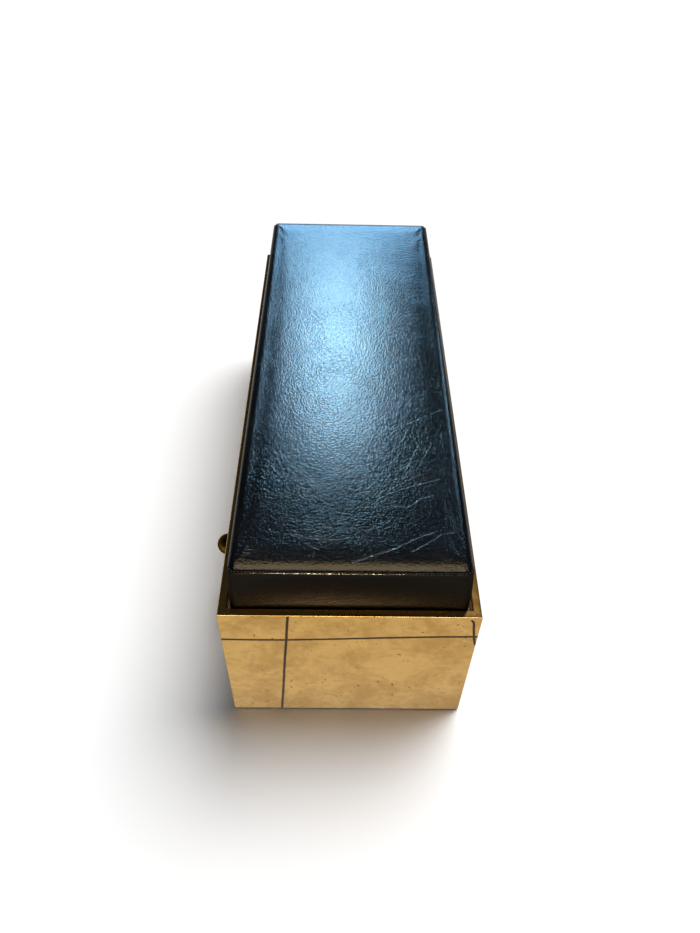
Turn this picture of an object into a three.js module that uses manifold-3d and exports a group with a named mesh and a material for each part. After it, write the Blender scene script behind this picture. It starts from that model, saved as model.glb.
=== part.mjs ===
import * as THREE from 'three';
import { mergeVertices } from 'three/addons/utils/BufferGeometryUtils.js';
import Module from 'manifold-3d';

// Luggage bench: a plywood box clad in folded brass sheet, with a leather seat pad
// that drops into a recess in its top and one drawer in its left side.
// Millimetres, Z up. X is the width and Y the length. The origin is on the floor under
// the middle of the box, the near end faces -Y and the drawer opens towards -X.

const wasm = await Module();
wasm.setup();

// Box
const BOX_WIDTH = 440;
const BOX_LENGTH = 1120;
const BOX_HEIGHT = 338;
const FIT_GAP = 0.3;

// Felt strips under the base
const FELT_THICKNESS = 3;
const FELT_WIDTH = 30;
const FELT_INSET = 25;

// Brass cladding
const SHEET = 1.2;
const FOLD_RADIUS = 2;
const MITRE_GAP = 0.3;

// Plywood and hardwood carcass
const WALL = 12;
const BASE_THICKNESS = 15;
const RECESS_DEPTH = 20;
const DECK_THICKNESS = 12;
const DIVIDER_THICKNESS = 12;
const BATTEN = 20;
const CORNER_BLOCK = 14;

// Frame of the left side, round the drawer
const TOP_RAIL_HEIGHT = 50;
const BOTTOM_RAIL_HEIGHT = 24;
const NEAR_STILE_WIDTH = 26;
const OPENING_LENGTH = 480;

// Wooden running gear of the drawer
const RUNNER_WIDTH = 20;
const RUNNER_RISE = 3;
const GUIDE_WIDTH = 12;
const GUIDE_RISE = 30;
const GUIDE_PLAY = 1;
const KICKER_PLAY = 1.5;
const STOP_HEIGHT = 20;
const STOP_LENGTH = 32.1;

// Drawer box
const FRONT_REVEAL = 2;
const FRONT_BOARD = 12;
const FRONT_RETURN = 10;
const DRAWER_WALL = 12;
const SIDE_INSET = 10;
const SIDE_DROP = 6;
const BOTTOM_THICKNESS = 6;
const GROOVE_DEPTH = 6;
const GROOVE_HEIGHT = 8;

// Dovetails of the drawer box
const TAIL_COUNT = 5;
const TAIL_NECK = 20;
const TAIL_SLOPE = 1 / 6;
const FRONT_TAIL_LENGTH = 8;

// Ball knob with its rosette and screw
const KNOB_DIAMETER = 43;
const KNOB_STANDOFF = 28.8;
const KNOB_FOOT_RADIUS = 11;
const KNOB_WAIST_RADIUS = 6.5;
const KNOB_NECK_ANGLE = 150;
const ROSETTE_RADIUS = 15;
const ROSETTE_THICKNESS = 3;
const ROSETTE_CHAMFER = 1;
const KNOB_SCREW_RADIUS = 2.5;
const KNOB_SCREW_ENGAGEMENT = 14;
const KNOB_SCREW_HEAD_RADIUS = 5;
const KNOB_SCREW_HEAD_HEIGHT = 3;
const WASHER_RADIUS = 7.5;
const WASHER_THICKNESS = 1;

// Countersunk screws from the base up into the walls
const BASE_SCREW_RADIUS = 2;
const BASE_SCREW_HEAD_RADIUS = 4;
const BASE_SCREW_HEAD_HEIGHT = 3;
const BASE_SCREW_LENGTH = 32;
const BASE_SCREWS_PER_END = 2;
const BASE_SCREWS_PER_SIDE = 3;

// Seat pad
const PAD_SIDE_GAP = 12;
const PAD_END_GAP = 0.5;
const PAD_CORNER_RADIUS = 14;
const PAD_SEAM_HEIGHT = 118;
const PAD_EDGE_RISE = 5;
const PAD_EDGE_REACH = 24;
const PAD_CROWN = 4;
const PAD_DRAW_IN = 4;
const PAD_SIDE_FLARE = 8;
const PAD_TUCK_RADIUS = 8;
const PAD_BULGE_HEIGHT = 28;
const PAD_BOARD = 12;
const PAD_HEM = 30;
const PAD_COVER_MARGIN = 2;
const PAD_LEAST_RADIUS = 2;
const LEATHER = 1.5;
const DUST_COVER = 0.8;

// Facets
const ROUND_SIDES = 40;
const SMALL_SIDES = 12;
const SCREW_SIDES = 8;
const FOLD_STEPS = 4;
const CORNER_STEPS = 6;
const LONG_SIDE_STEPS = 10;
const END_STEPS = 4;
const BOXING_STEPS = 6;
const TUCK_STEPS = 3;
const EDGE_STEPS = 4;
const FIELD_STEPS = 4;
const MERGE_DISTANCE = 1e-4;

// Places that follow from the sizes above
const wallOuterX = BOX_WIDTH / 2 - SHEET - FIT_GAP;
const wallOuterY = BOX_LENGTH / 2 - SHEET - FIT_GAP;
const wallInnerX = wallOuterX - WALL;
const wallInnerY = wallOuterY - WALL;
const insideX = wallInnerX - FIT_GAP;
const insideY = wallInnerY - FIT_GAP;
const ledgeWidth = WALL + 2 * (SHEET + FIT_GAP);
const recessX = BOX_WIDTH / 2 - ledgeWidth;
const recessY = BOX_LENGTH / 2 - ledgeWidth;

const baseBottom = FELT_THICKNESS + FIT_GAP;
const baseTop = baseBottom + BASE_THICKNESS;
const wallBottom = baseTop + FIT_GAP;
const wallTop = BOX_HEIGHT - SHEET - FIT_GAP;
const deckTop = BOX_HEIGHT - RECESS_DEPTH;
const deckBottom = deckTop - DECK_THICKNESS;
const underDeck = deckBottom - FIT_GAP;
const battenBottom = underDeck - BATTEN;

const openingBottom = wallBottom + BOTTOM_RAIL_HEIGHT;
const openingTop = wallTop - TOP_RAIL_HEIGHT;
const openingNear = -insideY + NEAR_STILE_WIDTH;
const openingFar = openingNear + OPENING_LENGTH;

const drawerY = (openingNear + openingFar) / 2;
const drawerZ = (openingBottom + openingTop) / 2;
const frontHalfLength = OPENING_LENGTH / 2 - FRONT_REVEAL;
const frontHalfHeight = (openingTop - openingBottom) / 2 - FRONT_REVEAL;
const boardFront = SHEET + FIT_GAP;
const boardBack = boardFront + FRONT_BOARD;
const sideFront = boardBack + FIT_GAP;
const stopFront = insideX - STOP_LENGTH;
const drawerRear = stopFront - FIT_GAP + BOX_WIDTH / 2;
const rearBaseline = drawerRear - DRAWER_WALL - FIT_GAP;
const frontTailEnd = boardBack - FRONT_TAIL_LENGTH;
const sideOuter = OPENING_LENGTH / 2 - SIDE_INSET;
const sideInner = sideOuter - DRAWER_WALL;

const runnerTop = openingBottom + RUNNER_RISE;
const guideFace = sideOuter + GUIDE_PLAY;
const sideBottom = runnerTop + FIT_GAP - drawerZ;
const sideTop = frontHalfHeight - SIDE_DROP;
const grooveBottom = sideBottom + GROOVE_HEIGHT;
const bottomTop = grooveBottom + FIT_GAP + BOTTOM_THICKNESS;
const backBottom = bottomTop + FIT_GAP;

const padX = recessX - PAD_SIDE_GAP;
const padY = recessY - PAD_END_GAP;
const padBase = FIT_GAP;
const padBoardBottom = padBase + LEATHER + FIT_GAP;
const padBoardTop = padBoardBottom + PAD_BOARD;
const padBoxingTop = PAD_SEAM_HEIGHT - LEATHER - FIT_GAP;

// Materials
const brass = new THREE.MeshStandardMaterial({ color: 0xc39a52, roughness: 0.22, metalness: 1 });
const bronze = new THREE.MeshStandardMaterial({ color: 0x6b4d22, roughness: 0.3, metalness: 1 });
const steel = new THREE.MeshStandardMaterial({ color: 0x8d8f92, roughness: 0.35, metalness: 1 });
const plywood = new THREE.MeshStandardMaterial({ color: 0xc9a877, roughness: 0.7, metalness: 0 });
const hardwood = new THREE.MeshStandardMaterial({ color: 0x9c7446, roughness: 0.6, metalness: 0 });
const leather = new THREE.MeshStandardMaterial({ color: 0x0d0e11, roughness: 0.38, metalness: 0 });
const foam = new THREE.MeshStandardMaterial({ color: 0xd9cfa6, roughness: 0.95, metalness: 0 });
const felt = new THREE.MeshStandardMaterial({ color: 0x2b2a28, roughness: 1, metalness: 0 });

const bench = new THREE.Group();
const carcass = new THREE.Group();
const drawer = new THREE.Group();
const pad = new THREE.Group();
drawer.position.set(-BOX_WIDTH / 2, drawerY, drawerZ);
pad.position.set(0, 0, deckTop);
bench.add(carcass, drawer, pad);

function place(group, name, geometry, material) {
  const mesh = new THREE.Mesh(geometry, material);
  mesh.name = name;
  group.add(mesh);
}

// A rectangular block between two corners
function block(low, high) {
  const size = high.map((value, axis) => value - low[axis]);
  const middle = high.map((value, axis) => (value + low[axis]) / 2);
  return new THREE.BoxGeometry(...size).translate(...middle);
}

// Joins and cuts
function solidOf(geometry) {
  const bare = geometry.clone();
  bare.deleteAttribute('normal');
  bare.deleteAttribute('uv');
  const merged = mergeVertices(bare, MERGE_DISTANCE);
  const vertProperties = new Float32Array(merged.attributes.position.array);
  const triVerts = new Uint32Array(merged.index.array);
  return new wasm.Manifold(new wasm.Mesh({ numProp: 3, vertProperties, triVerts }));
}

function geometryOf(solid) {
  const mesh = solid.getMesh();
  const geometry = new THREE.BufferGeometry();
  geometry.setAttribute('position', new THREE.BufferAttribute(mesh.vertProperties, 3));
  geometry.setIndex(new THREE.BufferAttribute(mesh.triVerts, 1));
  geometry.computeVertexNormals();
  return geometry;
}

function cut(geometry, tools) {
  const result = tools.reduce((solid, tool) => solid.subtract(solidOf(tool)), solidOf(geometry));
  return geometryOf(result);
}

// A turned piece whose profile of radius and height stands on the Z axis
function turned(points, sides) {
  const profile = points.map(([radius, height]) => new THREE.Vector2(radius, height));
  return new THREE.LatheGeometry(profile, sides).rotateX(Math.PI / 2);
}

function washer(inner, outer, low, high, sides) {
  return turned([[inner, low], [outer, low], [outer, high], [inner, high], [inner, low]], sides);
}

function rod(radius, low, high, sides) {
  return turned([[0, low], [radius, low], [radius, high], [0, high]], sides);
}

// A plate drawn in X and Z that stands between y and y + thickness
function upright(shape, y, thickness) {
  const plate = new THREE.ExtrudeGeometry(shape, { depth: thickness, bevelEnabled: false });
  return plate.rotateX(Math.PI / 2).translate(0, y + thickness, 0);
}

// Turns a shape drawn in X and Y so that it is drawn in Y and Z and runs along X
function facingX(geometry) {
  const axes = new THREE.Matrix4().makeBasis(
    new THREE.Vector3(0, 1, 0),
    new THREE.Vector3(0, 0, 1),
    new THREE.Vector3(1, 0, 0),
  );
  return geometry.applyMatrix4(axes);
}

// Evenly spread places between -reach and reach
function spread(count, reach) {
  return Array.from({ length: count }, (_, i) => reach * ((2 * i + 1) / count - 1));
}

// Felt strips
function addFelt() {
  const halfLength = BOX_WIDTH / 2 - FELT_INSET;
  const endPlace = BOX_LENGTH / 2 - FELT_INSET - FELT_WIDTH / 2;
  const places = { near: -endPlace, middle: 0, far: endPlace };
  for (const [where, y] of Object.entries(places)) {
    const low = [-halfLength, y - FELT_WIDTH / 2, 0];
    const high = [halfLength, y + FELT_WIDTH / 2, FELT_THICKNESS];
    place(carcass, `felt_strip_${where}`, block(low, high), felt);
  }
}

// Base screws
function baseScrewPlaces() {
  const endY = wallOuterY - WALL / 2;
  const sideX = wallOuterX - WALL / 2;
  const ends = spread(BASE_SCREWS_PER_END, wallInnerX).flatMap((x) => [[x, -endY], [x, endY]]);
  const sides = spread(BASE_SCREWS_PER_SIDE, wallInnerY).flatMap((y) => [[-sideX, y], [sideX, y]]);
  return [...ends, ...sides];
}

function baseScrew(clearance) {
  const head = BASE_SCREW_HEAD_RADIUS + clearance;
  const shank = BASE_SCREW_RADIUS + clearance;
  const profile = [
    [0, 0],
    [head, 0],
    [shank, BASE_SCREW_HEAD_HEIGHT + clearance],
    [shank, BASE_SCREW_LENGTH - BASE_SCREW_RADIUS + clearance],
    [0, BASE_SCREW_LENGTH + clearance],
  ];
  return turned(profile, SCREW_SIDES);
}

function atBaseScrews(clearance) {
  const height = clearance > 0 ? baseBottom : baseBottom + FIT_GAP;
  return baseScrewPlaces().map(([x, y]) => baseScrew(clearance).translate(x, y, height));
}

// Plywood box
function addWalls() {
  const holes = atBaseScrews(FIT_GAP);
  const base = block([-wallOuterX, -wallOuterY, baseBottom], [wallOuterX, wallOuterY, baseTop]);
  place(carcass, 'base_panel', cut(base, holes), plywood);
  atBaseScrews(0).forEach((screw, i) => place(carcass, `base_screw_${i + 1}`, screw, steel));

  const nearEnd = block([-wallOuterX, -wallOuterY, wallBottom], [wallOuterX, -wallInnerY, wallTop]);
  place(carcass, 'near_end_panel', cut(nearEnd, holes), plywood);
  const farEnd = block([-wallOuterX, wallInnerY, wallBottom], [wallOuterX, wallOuterY, wallTop]);
  place(carcass, 'far_end_panel', cut(farEnd, holes), plywood);
  const right = block([wallInnerX, -insideY, wallBottom], [wallOuterX, insideY, wallTop]);
  place(carcass, 'right_side_panel', cut(right, holes), plywood);

  const bottomRail = block([-wallOuterX, -insideY, wallBottom], [-wallInnerX, insideY, openingBottom]);
  place(carcass, 'left_bottom_rail', cut(bottomRail, holes), plywood);
  const topRail = block([-wallOuterX, -insideY, openingTop], [-wallInnerX, insideY, wallTop]);
  place(carcass, 'left_top_rail', topRail, plywood);

  const between = [openingBottom + FIT_GAP, openingTop - FIT_GAP];
  const stile = block([-wallOuterX, -insideY, between[0]], [-wallInnerX, openingNear, between[1]]);
  place(carcass, 'left_near_stile', stile, plywood);
  const farPanel = block([-wallOuterX, openingFar, between[0]], [-wallInnerX, insideY, between[1]]);
  place(carcass, 'left_far_panel', farPanel, plywood);
}

// Seat deck, the battens that carry it and the glue blocks in the corners
function addDeck() {
  const deck = block([-insideX, -insideY, deckBottom], [insideX, insideY, deckTop]);
  place(carcass, 'seat_deck', deck, plywood);

  const endBattenX = insideX - BATTEN - FIT_GAP;
  for (const [side, sign] of [['left', -1], ['right', 1]]) {
    const x = sign * (insideX - BATTEN / 2);
    const low = [x - BATTEN / 2, -insideY, battenBottom];
    const high = [x + BATTEN / 2, insideY, underDeck];
    place(carcass, `deck_batten_${side}`, block(low, high), hardwood);
  }
  for (const [end, sign] of [['near', -1], ['far', 1]]) {
    const y = sign * (insideY - BATTEN / 2);
    const low = [-endBattenX, y - BATTEN / 2, battenBottom];
    const high = [endBattenX, y + BATTEN / 2, underDeck];
    place(carcass, `deck_batten_${end}`, block(low, high), hardwood);
  }
}

function cornerBlock(signX, signY) {
  const shape = new THREE.Shape();
  shape.moveTo(signX * insideX, signY * insideY);
  shape.lineTo(signX * (insideX - CORNER_BLOCK), signY * insideY);
  shape.lineTo(signX * insideX, signY * (insideY - CORNER_BLOCK));
  const depth = battenBottom - FIT_GAP - wallBottom;
  return new THREE.ExtrudeGeometry(shape, { depth, bevelEnabled: false }).translate(0, 0, wallBottom);
}

function addCornerBlocks() {
  for (const [end, signY] of [['near', -1], ['far', 1]]) {
    for (const [side, signX] of [['left', -1], ['right', 1]]) {
      place(carcass, `corner_block_${end}_${side}`, cornerBlock(signX, signY), hardwood);
    }
  }
}

// Divider between the drawer bay and the closed half, notched round the long battens
function addDivider() {
  const nearFace = drawerY + guideFace + GUIDE_WIDTH + FIT_GAP;
  const notchX = insideX - BATTEN - FIT_GAP;
  const notchZ = battenBottom - FIT_GAP;
  const shape = new THREE.Shape();
  shape.moveTo(-insideX, wallBottom);
  shape.lineTo(insideX, wallBottom);
  shape.lineTo(insideX, notchZ);
  shape.lineTo(notchX, notchZ);
  shape.lineTo(notchX, underDeck);
  shape.lineTo(-notchX, underDeck);
  shape.lineTo(-notchX, notchZ);
  shape.lineTo(-insideX, notchZ);
  place(carcass, 'centre_divider', upright(shape, nearFace, DIVIDER_THICKNESS), plywood);
}

// Runners under the drawer sides, guides beside them, kickers above and stops behind
function addRunningGear() {
  const railOuter = guideFace - FIT_GAP;
  const railInner = railOuter - RUNNER_WIDTH;
  const guideOuter = guideFace + GUIDE_WIDTH;
  const kickerX = insideX - BATTEN - FIT_GAP;
  const kickerBottom = drawerZ + sideTop + KICKER_PLAY;
  const stopBottom = runnerTop + FIT_GAP;

  for (const [end, sign] of [['near', -1], ['far', 1]]) {
    const alongY = (a, b) => [drawerY + sign * a, drawerY + sign * b].sort((p, q) => p - q);
    const [railLow, railHigh] = alongY(railInner, railOuter);
    const [guideLow, guideHigh] = alongY(guideFace, guideOuter);
    const runner = block([-insideX, railLow, wallBottom], [insideX, railHigh, runnerTop]);
    place(carcass, `drawer_runner_${end}`, runner, hardwood);
    const guide = block([-insideX, guideLow, wallBottom], [insideX, guideHigh, runnerTop + GUIDE_RISE]);
    place(carcass, `drawer_guide_${end}`, guide, hardwood);
    const kicker = block([-kickerX, railLow, kickerBottom], [kickerX, railHigh, underDeck]);
    place(carcass, `drawer_kicker_${end}`, kicker, hardwood);
    const stop = block([stopFront, railLow, stopBottom], [insideX, railHigh, stopBottom + STOP_HEIGHT]);
    place(carcass, `drawer_stop_${end}`, stop, hardwood);
  }
}

// Brass sheet folded over a wall: outer face, ledge and a lip down into the recess.
// Its profile is drawn with X running inwards from the outer face and Y up.
function foldProfile() {
  const inner = FOLD_RADIUS - SHEET;
  const lipBottom = deckTop + FIT_GAP;
  const shape = new THREE.Shape();
  shape.moveTo(0, baseBottom);
  shape.lineTo(SHEET, baseBottom);
  shape.lineTo(SHEET, BOX_HEIGHT - FOLD_RADIUS);
  shape.absarc(FOLD_RADIUS, BOX_HEIGHT - FOLD_RADIUS, inner, Math.PI, Math.PI / 2, true);
  shape.lineTo(ledgeWidth - FOLD_RADIUS, BOX_HEIGHT - SHEET);
  shape.absarc(ledgeWidth - FOLD_RADIUS, BOX_HEIGHT - FOLD_RADIUS, inner, Math.PI / 2, 0, true);
  shape.lineTo(ledgeWidth - SHEET, lipBottom);
  shape.lineTo(ledgeWidth, lipBottom);
  shape.lineTo(ledgeWidth, BOX_HEIGHT - FOLD_RADIUS);
  shape.absarc(ledgeWidth - FOLD_RADIUS, BOX_HEIGHT - FOLD_RADIUS, FOLD_RADIUS, 0, Math.PI / 2, false);
  shape.lineTo(FOLD_RADIUS, BOX_HEIGHT);
  shape.absarc(FOLD_RADIUS, BOX_HEIGHT - FOLD_RADIUS, FOLD_RADIUS, Math.PI / 2, Math.PI, false);
  return shape;
}

// The ends are mitred: each point stops short by its own distance from the outer face
function foldedSheet(length) {
  const options = { depth: length, bevelEnabled: false, curveSegments: FOLD_STEPS };
  const sheet = new THREE.ExtrudeGeometry(foldProfile(), options).translate(0, 0, -length / 2);
  const points = sheet.attributes.position;
  for (let i = 0; i < points.count; i += 1) {
    const reach = length / 2 - points.getX(i) - MITRE_GAP / Math.SQRT2;
    points.setZ(i, Math.sign(points.getZ(i)) * reach);
  }
  return facingX(sheet);
}

function addCladding() {
  const end = () => foldedSheet(BOX_WIDTH).translate(0, -BOX_LENGTH / 2, 0);
  const side = () => foldedSheet(BOX_LENGTH).translate(0, -BOX_WIDTH / 2, 0);
  place(carcass, 'near_end_cladding', end(), brass);
  place(carcass, 'far_end_cladding', end().rotateZ(Math.PI), brass);
  place(carcass, 'right_side_cladding', side().rotateZ(Math.PI / 2), brass);
  const low = [-BOX_WIDTH / 2 - SHEET, openingNear, openingBottom];
  const window = block(low, [-wallOuterX, openingFar, openingTop]);
  place(carcass, 'left_side_cladding', cut(side().rotateZ(-Math.PI / 2), [window]), brass);
}

// Drawer, in a frame at the middle of its face with X running into the bench
function tailCentres() {
  return spread(TAIL_COUNT, (sideTop - backBottom) / 2).map((z) => z + (sideTop + backBottom) / 2);
}

function tailCorners(z, base, end, clearance) {
  const neck = TAIL_NECK / 2 + clearance;
  const wide = neck + TAIL_SLOPE * Math.abs(end - base);
  return [[base, z - neck], [end, z - wide], [end, z + wide], [base, z + neck]];
}

function drawerSideShape() {
  const shape = new THREE.Shape();
  shape.moveTo(sideFront, sideBottom);
  shape.lineTo(drawerRear, sideBottom);
  shape.lineTo(drawerRear, backBottom - FIT_GAP);
  shape.lineTo(rearBaseline, backBottom - FIT_GAP);
  for (const z of tailCentres()) {
    tailCorners(z, rearBaseline, drawerRear, 0).forEach((corner) => shape.lineTo(...corner));
  }
  shape.lineTo(rearBaseline, sideTop);
  shape.lineTo(sideFront, sideTop);
  for (const z of tailCentres().reverse()) {
    const corners = tailCorners(z, sideFront, frontTailEnd, 0).reverse();
    corners.forEach((corner) => shape.lineTo(...corner));
  }
  return shape;
}

function tailSockets(base, end, y, thickness) {
  return tailCentres().map((z) => {
    const corners = tailCorners(z, base, end, FIT_GAP).map((corner) => new THREE.Vector2(...corner));
    return upright(new THREE.Shape(corners), y, thickness);
  });
}

function bottomGroove(fromX, toX, halfLength) {
  const height = BOTTOM_THICKNESS + 2 * FIT_GAP;
  return block([fromX, -halfLength, grooveBottom], [toX, halfLength, grooveBottom + height]);
}

function addDrawerBox() {
  const grooveReach = sideInner + GROOVE_DEPTH;
  const grooveFront = boardBack - GROOVE_DEPTH;
  const groove = bottomGroove(grooveFront, drawerRear + FIT_GAP, grooveReach);
  for (const [end, y] of [['near', -sideOuter], ['far', sideInner]]) {
    const side = upright(drawerSideShape(), y, DRAWER_WALL);
    place(drawer, `drawer_side_${end}`, cut(side, [groove]), hardwood);
  }

  const backFront = drawerRear - DRAWER_WALL;
  const back = block([backFront, -sideOuter, backBottom], [drawerRear, sideOuter, sideTop]);
  const socketWidth = DRAWER_WALL + 2 * FIT_GAP;
  const past = drawerRear + FIT_GAP;
  const rearSockets = [-sideOuter - FIT_GAP, sideInner - FIT_GAP].flatMap((y) => (
    tailSockets(rearBaseline, past, y, socketWidth)
  ));
  place(drawer, 'drawer_back', cut(back, rearSockets), hardwood);

  const bottomReach = grooveReach - FIT_GAP;
  const bottomLow = [grooveFront + FIT_GAP, -bottomReach, grooveBottom + FIT_GAP];
  place(drawer, 'drawer_bottom', block(bottomLow, [drawerRear, bottomReach, bottomTop]), plywood);

  const boardY = frontHalfLength - SHEET - FIT_GAP;
  const boardZ = frontHalfHeight - SHEET - FIT_GAP;
  const board = block([boardFront, -boardY, -boardZ], [boardBack, boardY, boardZ]);
  const frontSockets = [-sideOuter - FIT_GAP, sideInner - FIT_GAP].flatMap((y) => (
    tailSockets(sideFront, frontTailEnd - FIT_GAP, y, socketWidth)
  ));
  const frontGroove = bottomGroove(grooveFront, sideFront, grooveReach);
  const tools = [...frontSockets, frontGroove, knobScrewBore()];
  place(drawer, 'drawer_front_board', cut(board, tools), plywood);
}

// Brass pan folded round the face and edges of the front board
function addDrawerFront() {
  const faceY = frontHalfLength - FOLD_RADIUS;
  const faceZ = frontHalfHeight - FOLD_RADIUS;
  const face = new THREE.Shape();
  face.moveTo(-faceY, -faceZ);
  face.lineTo(faceY, -faceZ);
  face.lineTo(faceY, faceZ);
  face.lineTo(-faceY, faceZ);
  const options = {
    depth: FRONT_RETURN,
    bevelThickness: FOLD_RADIUS,
    bevelSize: FOLD_RADIUS,
    bevelSegments: FOLD_STEPS,
  };
  const pan = facingX(new THREE.ExtrudeGeometry(face, options).translate(0, 0, FOLD_RADIUS));
  const insideHalfY = frontHalfLength - SHEET;
  const insideHalfZ = frontHalfHeight - SHEET;
  const deep = FRONT_RETURN + 3 * FOLD_RADIUS;
  const hollow = block([SHEET, -insideHalfY, -insideHalfZ], [deep, insideHalfY, insideHalfZ]);
  const beyond = block(
    [FRONT_RETURN, -frontHalfLength - SHEET, -frontHalfHeight - SHEET],
    [deep, frontHalfLength + SHEET, frontHalfHeight + SHEET],
  );
  place(drawer, 'drawer_front_cladding', cut(pan, [hollow, beyond, knobScrewBore()]), brass);
}

// Knob, in heights measured outwards from the drawer face
const rosetteBottom = FIT_GAP;
const rosetteTop = rosetteBottom + ROSETTE_THICKNESS;
const knobBottom = rosetteTop + FIT_GAP;
const washerTop = -boardBack - FIT_GAP;
const washerBottom = washerTop - WASHER_THICKNESS;
const screwSeat = washerBottom - FIT_GAP;
const boreRadius = KNOB_SCREW_RADIUS + FIT_GAP;
const boreEnd = knobBottom + KNOB_SCREW_ENGAGEMENT + FIT_GAP;

function outward(geometry) {
  return geometry.rotateY(-Math.PI / 2);
}

function knobScrewBore() {
  return outward(rod(boreRadius, screwSeat, rosetteBottom, SMALL_SIDES));
}

function knobProfile() {
  const radius = KNOB_DIAMETER / 2;
  const neckAngle = THREE.MathUtils.degToRad(KNOB_NECK_ANGLE);
  const onBall = (angle) => new THREE.Vector2(
    radius * Math.sin(angle),
    KNOB_STANDOFF + radius * Math.cos(angle),
  );
  const foot = new THREE.Vector2(KNOB_FOOT_RADIUS, knobBottom);
  const ballStart = onBall(neckAngle);
  const waist = new THREE.Vector2(KNOB_WAIST_RADIUS, (foot.y + ballStart.y) / 2);
  const neck = new THREE.QuadraticBezierCurve(foot, waist, ballStart).getPoints(FOLD_STEPS);
  const ballSteps = ROUND_SIDES / 2 - FOLD_STEPS;
  const ball = Array.from({ length: ballSteps }, (_, i) => onBall(neckAngle * (1 - (i + 1) / ballSteps)));
  const outline = [...neck, ...ball].map((point) => [Math.max(point.x, 0), point.y]);
  outline[outline.length - 1][0] = 0;
  return [[0, boreEnd], [boreRadius, boreEnd], [boreRadius, knobBottom], ...outline];
}

function addKnob() {
  place(drawer, 'drawer_knob', outward(turned(knobProfile(), ROUND_SIDES)), bronze);

  const rosette = [
    [boreRadius, rosetteBottom],
    [ROSETTE_RADIUS, rosetteBottom],
    [ROSETTE_RADIUS, rosetteTop - ROSETTE_CHAMFER],
    [ROSETTE_RADIUS - ROSETTE_CHAMFER, rosetteTop],
    [boreRadius, rosetteTop],
    [boreRadius, rosetteBottom],
  ];
  place(drawer, 'knob_rosette', outward(turned(rosette, ROUND_SIDES)), bronze);

  const screw = [
    [0, screwSeat - KNOB_SCREW_HEAD_HEIGHT],
    [KNOB_SCREW_HEAD_RADIUS, screwSeat - KNOB_SCREW_HEAD_HEIGHT],
    [KNOB_SCREW_HEAD_RADIUS, screwSeat],
    [KNOB_SCREW_RADIUS, screwSeat],
    [KNOB_SCREW_RADIUS, boreEnd - FIT_GAP],
    [0, boreEnd - FIT_GAP],
  ];
  place(drawer, 'knob_screw', outward(turned(screw, SMALL_SIDES)), steel);
  const ring = washer(boreRadius, WASHER_RADIUS, washerBottom, washerTop, SMALL_SIDES);
  place(drawer, 'knob_washer', outward(ring), steel);
}

// Seat pad, in a frame on the deck. Every layer is built from rings round the pad.
// A ring is a rounded rectangle, wider by the flare across the pad, and drawn in
// between its corners where asked.
function padRing(inset, height, drawn, flare) {
  const halfX = padX + flare - inset;
  const halfY = padY - inset;
  const radius = Math.max(PAD_CORNER_RADIUS - inset, PAD_LEAST_RADIUS);
  const corners = [[1, 1], [-1, 1], [-1, -1], [1, -1]].map(([signX, signY]) => (
    new THREE.Vector2(signX * (halfX - radius), signY * (halfY - radius))
  ));
  const ring = [];
  corners.forEach((corner, quarter) => {
    for (let i = 0; i <= CORNER_STEPS; i += 1) {
      const angle = (quarter + i / CORNER_STEPS) * (Math.PI / 2);
      const x = corner.x + radius * Math.cos(angle);
      const y = corner.y + radius * Math.sin(angle);
      ring.push(new THREE.Vector3(x, y, height));
    }
    const next = corners[(quarter + 1) % corners.length];
    const steps = quarter % 2 === 0 ? END_STEPS : LONG_SIDE_STEPS;
    const angle = (quarter + 1) * (Math.PI / 2);
    for (let i = 1; i < steps; i += 1) {
      const along = i / steps;
      const reach = radius - drawn * 4 * along * (1 - along);
      const x = THREE.MathUtils.lerp(corner.x, next.x, along) + reach * Math.cos(angle);
      const y = THREE.MathUtils.lerp(corner.y, next.y, along) + reach * Math.sin(angle);
      ring.push(new THREE.Vector3(x, y, height));
    }
  });
  return ring;
}

// Two triangles over four corners, split along the shorter diagonal
function splitQuad(vertices, a, b, c, d) {
  const across = vertices[a].distanceToSquared(vertices[c]);
  const other = vertices[b].distanceToSquared(vertices[d]);
  return across <= other ? [a, b, c, a, c, d] : [a, b, d, b, c, d];
}

// Joins rings, listed from the bottom of the outside upwards, into a closed skin. Two hubs
// cap its ends; without hubs the last ring joins the first.
function skin(rings, hubs) {
  const count = rings[0].length;
  const vertices = rings.flat();
  const triangles = [];
  const bands = hubs ? rings.length - 1 : rings.length;
  for (let band = 0; band < bands; band += 1) {
    const low = band * count;
    const high = ((band + 1) % rings.length) * count;
    for (let i = 0; i < count; i += 1) {
      const j = (i + 1) % count;
      triangles.push(...splitQuad(vertices, low + i, low + j, high + j, high + i));
    }
  }
  if (hubs) {
    const [lowHub, highHub] = [vertices.length, vertices.length + 1];
    const lastRing = (rings.length - 1) * count;
    vertices.push(new THREE.Vector3(0, 0, hubs[0]), new THREE.Vector3(0, 0, hubs[1]));
    for (let i = 0; i < count; i += 1) {
      const j = (i + 1) % count;
      triangles.push(lowHub, j, i, highHub, lastRing + i, lastRing + j);
    }
  }
  const geometry = new THREE.BufferGeometry().setFromPoints(vertices);
  geometry.setIndex(triangles);
  geometry.computeVertexNormals();
  return geometry;
}

// How far up a height is, from the bulge at the foot of the boxing to the seam
function boxingShare(height) {
  const share = (height - PAD_BULGE_HEIGHT) / (PAD_SEAM_HEIGHT - PAD_BULGE_HEIGHT);
  return THREE.MathUtils.clamp(share, 0, 1);
}

// How far the boxing is drawn in at a height
function drawIn(height) {
  return PAD_DRAW_IN * Math.sin(Math.PI * boxingShare(height));
}

// How far the long sides spread at a height
function flareAt(height) {
  return PAD_SIDE_FLARE * Math.cos(boxingShare(height) * (Math.PI / 2));
}

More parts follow.
